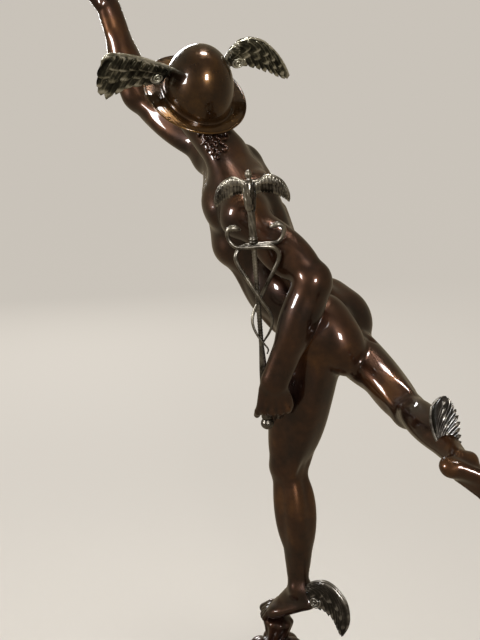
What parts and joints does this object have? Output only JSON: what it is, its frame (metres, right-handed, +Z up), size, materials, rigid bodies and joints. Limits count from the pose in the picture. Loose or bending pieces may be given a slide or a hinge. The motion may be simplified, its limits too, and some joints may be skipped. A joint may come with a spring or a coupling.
{
  "type": "bronze statue of a running winged messenger on a low base",
  "caption": "Cast bronze running messenger poised on tiptoe with an arm raised, winged helmet and ankles, snake staff in the lowered hand, on a cloud mount and round plinth.",
  "frame": {"origin": "centre of the plinth's flat underside, on the floor", "axes": "+Z up, the standing foot points toward -Y, the figure's left side is toward +X"},
  "size_m": [0.2556, 0.6012, 0.9077],
  "materials": {
    "brown_bronze": "glossy dark brown patina, waxed, with worn highlights",
    "golden_brown_bronze": "glossy golden brown patina, waxed",
    "green_black_bronze": "dull blackish grey-green patina",
    "grey_bronze": "rubbed grey metal, dark in the recesses",
    "dark_base_bronze": "satin dark brown patina"
  },
  "bodies": {
    "root": {"figure": "brown_bronze", "helmet": "golden_brown_bronze", "helmet_wing_left": "green_black_bronze", "helmet_wing_right": "green_black_bronze", "ankle_wing_standing": "green_black_bronze", "ankle_wing_trailing": "green_black_bronze", "caduceus": "grey_bronze", "cloud_mount": "dark_base_bronze", "plinth": "dark_base_bronze"}
  },
  "joints": []
}
